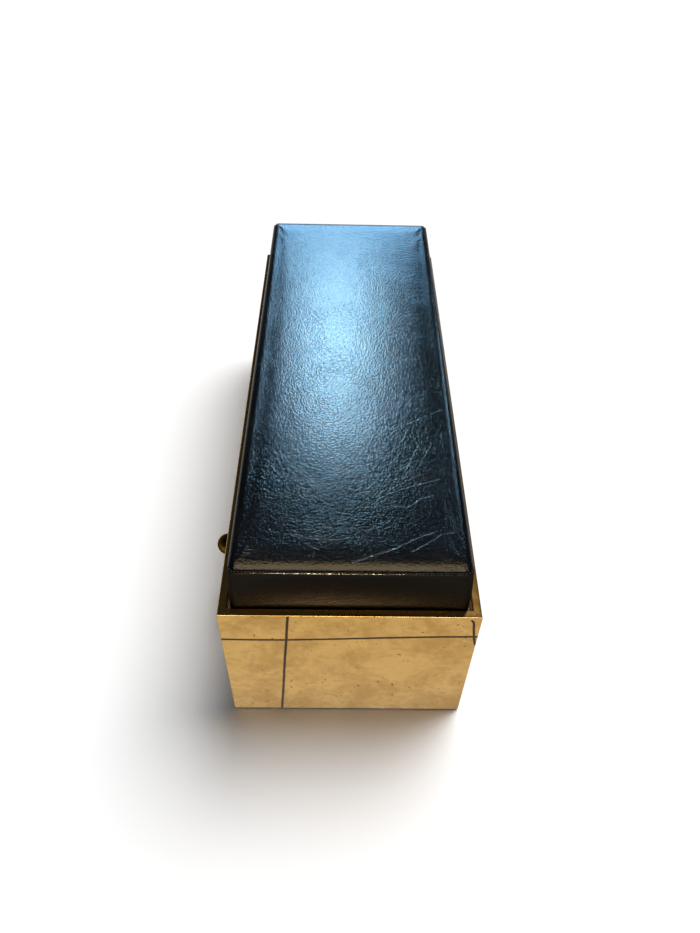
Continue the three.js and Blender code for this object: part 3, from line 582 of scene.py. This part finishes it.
def rounded(u, v):
    """A point of the rectangle, moved for its round corners, and its inset from the outline."""
    a = abs(u) - (PAD_X - CORNER_RADIUS)
    b = abs(v) - (PAD_Y - CORNER_RADIUS)
    if a <= 0 or b <= 0:
        return u, v, min(PAD_X - abs(u), PAD_Y - abs(v))
    s, t = a / CORNER_RADIUS, b / CORNER_RADIUS
    s_round, t_round = s * math.sqrt(1 - t * t / 2), t * math.sqrt(1 - s * s / 2)
    x = math.copysign(PAD_X - CORNER_RADIUS + s_round * CORNER_RADIUS, u)
    y = math.copysign(PAD_Y - CORNER_RADIUS + t_round * CORNER_RADIUS, v)
    return x, y, CORNER_RADIUS * (1 - math.hypot(s_round, t_round))


def top_height(x, y, inset):
    """The seat's height: a round edge behind the seam, then a low crown."""
    if inset < HELD_INSET:
        return SEAM_Z
    across = max(0.0, 1 - (PAD_X - abs(x)) / EDGE_REACH_SIDES)
    along = max(0.0, 1 - (PAD_Y - abs(y)) / EDGE_REACH_ENDS)
    fall = min((across**EDGE_CORNER_POWER + along**EDGE_CORNER_POWER) ** (1 / EDGE_CORNER_POWER), 1.0)
    edge = EDGE_RISE * math.sqrt(1 - fall * fall)
    crown = CROWN * (1 - (x / PAD_X) ** 2) * (1 - (y / PAD_Y) ** 4)
    return SEAM_Z + edge + crown


def outward(x, y):
    """The outline's normal at a point on it."""
    a = abs(x) - (PAD_X - CORNER_RADIUS)
    b = abs(y) - (PAD_Y - CORNER_RADIUS)
    if a > 0 and b > 0:
        normal = Vector((math.copysign(a, x), math.copysign(b, y)))
        return normal.normalized()
    if PAD_X - abs(x) < PAD_Y - abs(y):
        return Vector((math.copysign(1, x), 0))
    return Vector((0, math.copysign(1, y)))


def corner_distance(x, y):
    """Distance round the outline from the middle of the nearest corner."""
    a = max(abs(x) - (PAD_X - CORNER_RADIUS), 0)
    b = max(abs(y) - (PAD_Y - CORNER_RADIUS), 0)
    if a == 0 or b == 0:
        return CORNER_RADIUS
    return abs(math.atan2(b, a) - math.pi / 4) * CORNER_RADIUS


def boxing_levels():
    """Heights above the base and insets of the boxing, the tuck under it and the hem, from the seam down."""
    seam = SEAM_Z - BASE_Z
    levels = [(seam - SEAM_GROOVE_DROP, SEAM_GROOVE), (seam - SEAM_GROOVE_END, SEAM_GROOVE * 0.25)]
    steps = round((seam - BOXING_DROP - TUCK_RADIUS) / BOXING_STEP)
    for height in np.linspace(seam - BOXING_DROP, TUCK_RADIUS, steps + 1):
        levels.append((float(height), 0.0))
    turns = 5
    for i in range(1, turns + 1):
        angle = math.pi / 2 * i / turns
        levels.append((TUCK_RADIUS * (1 - math.sin(angle)), TUCK_RADIUS * (1 - math.cos(angle))))
    for share in (0.33, 0.66, 1.0):
        levels.append((0.0, TUCK_RADIUS + share * (HEM - TUCK_RADIUS)))
    return levels


def boxing_share(height):
    """How far up a height is, from the bulge at the foot of the boxing to the seam."""
    seam = SEAM_Z - BASE_Z
    return min(max((height - BULGE_HEIGHT) / (seam - BULGE_HEIGHT), 0.0), 1.0)


def flare_at(height):
    """How far the long sides spread at a height."""
    return SIDE_FLARE * math.cos(boxing_share(height) * math.pi / 2)


def drawn_in(height, x, y):
    """How far the boxing is drawn in between its foot and the seam: most at the middle of a side."""
    if PAD_Y - abs(y) < PAD_X - abs(x):
        share = max(height - TUCK_RADIUS, 0.0) / (SEAM_Z - BASE_Z - TUCK_RADIUS)
        fullness = max(1 - (x / PAD_X) ** 4, 0.0)
        return DRAW_IN_ENDS * fullness * math.sin(math.pi * share)
    fullness = max(1 - (y / PAD_Y) ** 2, 0.0)
    return DRAW_IN * fullness * math.sin(math.pi * boxing_share(height))


def pad_cover_mesh():
    """The sewn cover before it is filled: points, faces, and which points are held."""
    us, vs = spaced(PAD_X), spaced(PAD_Y)
    points, held = [], []
    for v in vs:
        for u in us:
            x, y, inset = rounded(u, v)
            points.append((x, y, top_height(x, y, inset)))
            held.append(inset < HELD_INSET)
    columns, rows = len(us), len(vs)
    faces = [
        (j * columns + i, j * columns + i + 1, (j + 1) * columns + i + 1, (j + 1) * columns + i)
        for j in range(rows - 1)
        for i in range(columns - 1)
    ]
    loop = list(range(columns))
    loop += [j * columns + columns - 1 for j in range(1, rows)]
    loop += [(rows - 1) * columns + i for i in range(columns - 2, -1, -1)]
    loop += [j * columns for j in range(rows - 2, 0, -1)]
    above = loop
    for height, inset in boxing_levels():
        ring = []
        for index in loop:
            x, y, _ = points[index]
            normal = outward(x, y)
            pull = inset + drawn_in(height, x, y)
            on_boxing = TUCK_RADIUS < height < SEAM_Z - BASE_Z - SEAM_MARGIN
            gap = corner_distance(x, y)
            if on_boxing and gap < CORNER_SEAM_WIDTH:
                pull += CORNER_SEAM_DEPTH * (1 - gap / CORNER_SEAM_WIDTH)
            spread = x * flare_at(height) / PAD_X
            ring.append(len(points))
            points.append((x + spread - normal.x * pull, y - normal.y * pull, BASE_Z + height))
            held.append(height <= TUCK_RADIUS or height > SEAM_Z - BASE_Z - SEAM_MARGIN)
        count = len(loop)
        faces += [(above[i], ring[i], ring[(i + 1) % count], above[(i + 1) % count]) for i in range(count)]
        above = ring
    return points, faces, held


def mesh_object(name, points, faces):
    mesh = bpy.data.meshes.new(name)
    mesh.from_pydata([[float(value) for value in point] for point in points], [], faces)
    mesh.polygons.foreach_set("use_smooth", [True] * len(mesh.polygons))
    made = bpy.data.objects.new(name, mesh)
    bpy.context.scene.collection.objects.link(made)
    return made


def points_of(mesh):
    flat = np.zeros(len(mesh.vertices) * 3)
    mesh.vertices.foreach_get("co", flat)
    return flat.reshape(-1, 3)


def inflate(piece, held):
    """Fills the cover by a short cloth simulation, with its seams held, and keeps the swell small."""
    scene = bpy.context.scene
    before = points_of(piece.data)
    group = piece.vertex_groups.new(name="held")
    group.add([i for i, fixed in enumerate(held) if fixed], 1.0, "REPLACE")
    cloth = piece.modifiers.new("filling", "CLOTH")
    settings = cloth.settings
    settings.quality = 6
    settings.mass = 0.5
    settings.tension_stiffness = 30
    settings.compression_stiffness = 30
    settings.shear_stiffness = 12
    settings.bending_stiffness = 1.5
    settings.use_pressure = True
    settings.uniform_pressure_force = PRESSURE
    settings.effector_weights.gravity = 0
    settings.vertex_group_mass = "held"
    cloth.collision_settings.use_collision = False
    cloth.point_cache.frame_start = 1
    cloth.point_cache.frame_end = SIM_FRAMES
    for step in range(1, SIM_FRAMES + 1):
        scene.frame_set(step)
    shown = piece.evaluated_get(bpy.context.evaluated_depsgraph_get())
    after = points_of(shown.data)
    piece.modifiers.remove(cloth)
    piece.vertex_groups.clear()
    scene.frame_set(1)
    move = after - before
    length = np.linalg.norm(move, axis=1, keepdims=True)
    capped = SWELL_CAP * np.tanh(length / SWELL_CAP)
    scale = np.divide(capped, length, out=np.ones_like(length), where=length > 1e-9)
    piece.data.vertices.foreach_set("co", (before + move * scale).ravel())
    piece.data.update()


def add_pad_cover():
    points, faces, held = pad_cover_mesh()
    cover = mesh_object("pad_leather_cover", points, faces)
    inflate(cover, held)
    cover.data.materials.append(leather_material("seat_leather", True))
    cover.data.materials.append(leather_material("boxing_leather", False))
    top_faces = (len(spaced(PAD_X)) - 1) * (len(spaced(PAD_Y)) - 1)
    for face in cover.data.polygons[top_faces:]:
        face.material_index = 1
    smooth = cover.modifiers.new("smooth", "SUBSURF")
    smooth.levels = 1
    smooth.render_levels = 1
    thick = cover.modifiers.new("leather", "SOLIDIFY")
    thick.thickness = LEATHER
    thick.offset = -1
    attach(cover, "pad")
    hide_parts("pad_top_leather", "pad_boxing_leather", "pad_foam")
    return cover


# Stitches
def stitch_shape():
    """Points and faces of one stitch along X: a short thread with round ends."""
    sides = 6
    profile = [(-0.5, 0.0), (-0.42, 0.7), (-0.25, 1.0), (0.25, 1.0), (0.42, 0.7), (0.5, 0.0)]
    points, faces = [], []
    for along, radius in profile[1:-1]:
        for side in range(sides):
            angle = 2 * math.pi * side / sides
            points.append(
                (
                    along * STITCH_LENGTH,
                    radius * STITCH_RADIUS * math.cos(angle),
                    radius * STITCH_RADIUS * math.sin(angle),
                )
            )
    rings = len(profile) - 2
    for ring in range(rings - 1):
        for side in range(sides):
            a = ring * sides + side
            b = ring * sides + (side + 1) % sides
            faces.append((a, a + sides, b + sides, b))
    tips = (len(points), len(points) + 1)
    points += [(profile[0][0] * STITCH_LENGTH, 0, 0), (profile[-1][0] * STITCH_LENGTH, 0, 0)]
    last = (rings - 1) * sides
    for side in range(sides):
        following = (side + 1) % sides
        faces.append((tips[0], side, following))
        faces.append((tips[1], last + following, last + side))
    return points, faces


def seam_path(inset):
    """Even places along the top seam, each with the direction of the seam."""
    radius = CORNER_RADIUS - inset
    centre_x, centre_y = PAD_X - CORNER_RADIUS, PAD_Y - CORNER_RADIUS
    corners = [(centre_x, -centre_y), (centre_x, centre_y), (-centre_x, centre_y), (-centre_x, -centre_y)]
    line = []
    arc_steps = 12
    for quarter, (x, y) in enumerate(corners):
        for step in range(arc_steps + 1):
            angle = (quarter - 1 + step / arc_steps) * math.pi / 2
            line.append(Vector((x + radius * math.cos(angle), y + radius * math.sin(angle))))
    line.append(line[0])
    lengths = [(b - a).length for a, b in zip(line, line[1:])]
    total = sum(lengths)
    count = round(total / STITCH_PITCH)
    places, index, done = [], 0, 0.0
    for i in range(count):
        target = total * i / count
        while done + lengths[index] < target:
            done += lengths[index]
            index += 1
        a, b = line[index], line[index + 1]
        share = (target - done) / lengths[index]
        places.append((a.lerp(b, share), (b - a).normalized()))
    return places


def add_stitches(cover):
    shape_points, shape_faces = stitch_shape()
    shown = cover.evaluated_get(bpy.context.evaluated_depsgraph_get())
    corners = [vertex.co for vertex in shown.data.vertices]
    tree = BVHTree.FromPolygons(corners, [face.vertices for face in shown.data.polygons])
    points, faces = [], []

    def sew(place, direction, normal):
        side = normal.cross(direction).normalized()
        turn = Matrix((direction, side, normal)).transposed()
        base = len(points)
        points.extend(place + turn @ Vector(p) for p in shape_points)
        faces.extend(tuple(base + i for i in face) for face in shape_faces)

    for flat, run in seam_path(STITCH_INSET):
        found, normal, _, _ = tree.ray_cast(Vector((flat.x, flat.y, 1.0)), Vector((0, 0, -1)))
        if found is None:
            continue
        direction = Vector((run.x, run.y, 0))
        direction = (direction - normal * direction.dot(normal)).normalized()
        sew(found + normal * STITCH_RADIUS * 0.35, direction, normal)
    made = mesh_object("pad_seam_stitches", points, faces)
    made.data.materials.append(thread_material())
    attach(made, "pad")
    return made


# Dust cover under the pad
def add_dust_cover():
    low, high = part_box("pad_dust_cover")
    columns, rows = DUST_COLUMNS, DUST_ROWS
    middle = (low.z + high.z) / 2
    points, faces = [], []
    for j in range(rows + 1):
        for i in range(columns + 1):
            x = low.x + (high.x - low.x) * i / columns
            y = low.y + (high.y - low.y) * j / rows
            slack_x = DUST_SLACK * i * (columns - i) / columns**2
            slack_y = DUST_SLACK * j * (rows - j) / rows**2
            slack = min(1.0, slack_x, slack_y)
            ripple = DUST_RIPPLE * slack * noise.noise(Vector((x * 14, y * 9, 0)))
            points.append((x, y, middle + ripple))
    for j in range(rows):
        for i in range(columns):
            a = j * (columns + 1) + i
            faces.append((a, a + columns + 1, a + columns + 2, a + 1))
    cloth = mesh_object("pad_dust_cloth", points, faces)
    cloth.data.materials.append(cover_cloth_material())
    thick = cloth.modifiers.new("cloth", "SOLIDIFY")
    thick.thickness = DUST_THICKNESS
    thick.offset = 0
    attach(cloth, "pad")
    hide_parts("pad_dust_cover")


# Studio
def add_floor():
    half = FLOOR_HALF
    corners = [(-half, -half, 0), (half, -half, 0), (half, half, 0), (-half, half, 0)]
    floor = mesh_object("floor", corners, [(0, 1, 2, 3)])
    material = bpy.data.materials.new("pale_floor")
    material.use_nodes = True
    material.node_tree.nodes.clear()
    graph = Graph(material.node_tree)
    path = graph.node("ShaderNodeLightPath").outputs
    glow_level = graph.math("MULTIPLY", path["Is Camera Ray"], FLOOR_GLOW)
    glow = graph.node("ShaderNodeEmission", {"Strength": glow_level})
    matt = graph.node("ShaderNodeBsdfDiffuse", {"Color": FLOOR_COLOUR})
    shadowed = graph.node("ShaderNodeAddShader", {0: glow.outputs[0], 1: matt.outputs[0]})
    x, y, _ = graph.axes(graph.node("ShaderNodeNewGeometry").outputs["Position"])
    sideways = graph.math("ABSOLUTE", x)
    beside = graph.remap(sideways, FLOOR_SIDE_FROM, FLOOR_SIDE_TO, FLOOR_BESIDE, FLOOR_IN_METAL)
    past_ends = graph.remap(graph.math("ABSOLUTE", y), FLOOR_END_FROM, FLOOR_END_TO)
    mirrored_level = graph.mix_values(past_ends, beside, FLOOR_IN_METAL)
    pale = graph.node("ShaderNodeEmission", {"Strength": mirrored_level})
    mirrored = graph.math("MAXIMUM", path["Is Glossy Ray"], path["Is Transmission Ray"])
    first = graph.math("LESS_THAN", path["Diffuse Depth"], 0.5)
    mirrored = graph.math("MULTIPLY", mirrored, first)
    whole = graph.node("ShaderNodeMixShader", {0: mirrored, 1: shadowed.outputs[0], 2: pale.outputs[0]})
    graph.node("ShaderNodeOutputMaterial", {"Surface": whole.outputs[0]})
    floor.data.materials.append(material)


def add_world():
    world = bpy.data.worlds.new("studio")
    bpy.context.scene.world = world
    world.use_nodes = True
    world.node_tree.nodes.clear()
    graph = Graph(world.node_tree)
    up = graph.axes(graph.node("ShaderNodeTexCoord").outputs["Generated"])[2]
    share = graph.remap(up, math.sin(SKY_FADE_FROM), math.sin(SKY_FADE_TO), 0.0, 1.0)
    seen = graph.node("ShaderNodeLightPath").outputs["Is Camera Ray"]
    share = graph.math("MULTIPLY", share, graph.math("SUBTRACT", 1.0, seen))
    horizon = graph.remap(seen, 0.0, 1.0, SKY_AT_HORIZON, 1.0)
    strength = graph.mix_values(share, horizon, SKY_ABOVE)
    colour = graph.mix(share, (1, 1, 1, 1), SKY_COLOUR)
    sky = graph.node("ShaderNodeBackground", {"Strength": strength, "Color": colour})
    graph.node("ShaderNodeOutputWorld", {"Surface": sky.outputs[0]})


def add_lights():
    sun = bpy.data.lights.new("key", "SUN")
    sun.energy = SUN_STRENGTH
    sun.angle = SUN_ANGLE
    key = bpy.data.objects.new("key", sun)
    key.rotation_euler = Vector(SUN_FROM).to_track_quat("Z", "Y").to_euler()
    key.visible_glossy = False
    bpy.context.scene.collection.objects.link(key)


def add_softboxes(group_name, softboxes, lit):
    """Panels that only the pieces named here reflect."""
    receivers = bpy.data.collections.new(group_name)
    for piece in lit:
        receivers.objects.link(piece)
    for name, (place, size, radiance, colour) in softboxes.items():
        area = bpy.data.lights.new(name, "AREA")
        area.shape = "RECTANGLE"
        area.size, area.size_y = size
        area.energy = math.pi * radiance * size[0] * size[1]
        area.color = colour
        softbox = bpy.data.objects.new(name, area)
        softbox.location = place
        away = Vector(place) - Vector(SOFTBOX_TARGET)
        softbox.rotation_euler = away.to_track_quat("Z", "Y").to_euler()
        softbox.visible_diffuse = False
        softbox.visible_camera = False
        softbox.light_linking.receiver_collection = receivers
        bpy.context.scene.collection.objects.link(softbox)


def add_camera():
    data = bpy.data.cameras.new("camera")
    data.sensor_width = SENSOR
    data.lens = SENSOR * FOCAL_PIXELS / PHOTO_HEIGHT
    data.clip_end = 200
    camera = bpy.data.objects.new("camera", data)
    turn = Matrix.Rotation(-CAMERA_YAW, 4, "Z")
    turn = turn @ Matrix.Rotation(math.pi / 2 - CAMERA_PITCH, 4, "X")
    turn = turn @ Matrix.Rotation(CAMERA_ROLL, 4, "Z")
    camera.matrix_world = Matrix.Translation(CAMERA_PLACE) @ turn
    bpy.context.scene.collection.objects.link(camera)
    bpy.context.scene.camera = camera


bpy.context.scene.view_settings.view_transform = "Standard"
add_camera()
add_floor()
add_world()
add_lights()
finish_solids()
pad_cover = add_pad_cover()
add_stitches(pad_cover)
add_dust_cover()
add_softboxes("leather_pieces", LEATHER_SOFTBOXES, [pad_cover])
brass_pieces = [solid for name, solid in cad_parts.items() if name.endswith("_cladding")]
add_softboxes("brass_pieces", BRASS_SOFTBOXES, brass_pieces)
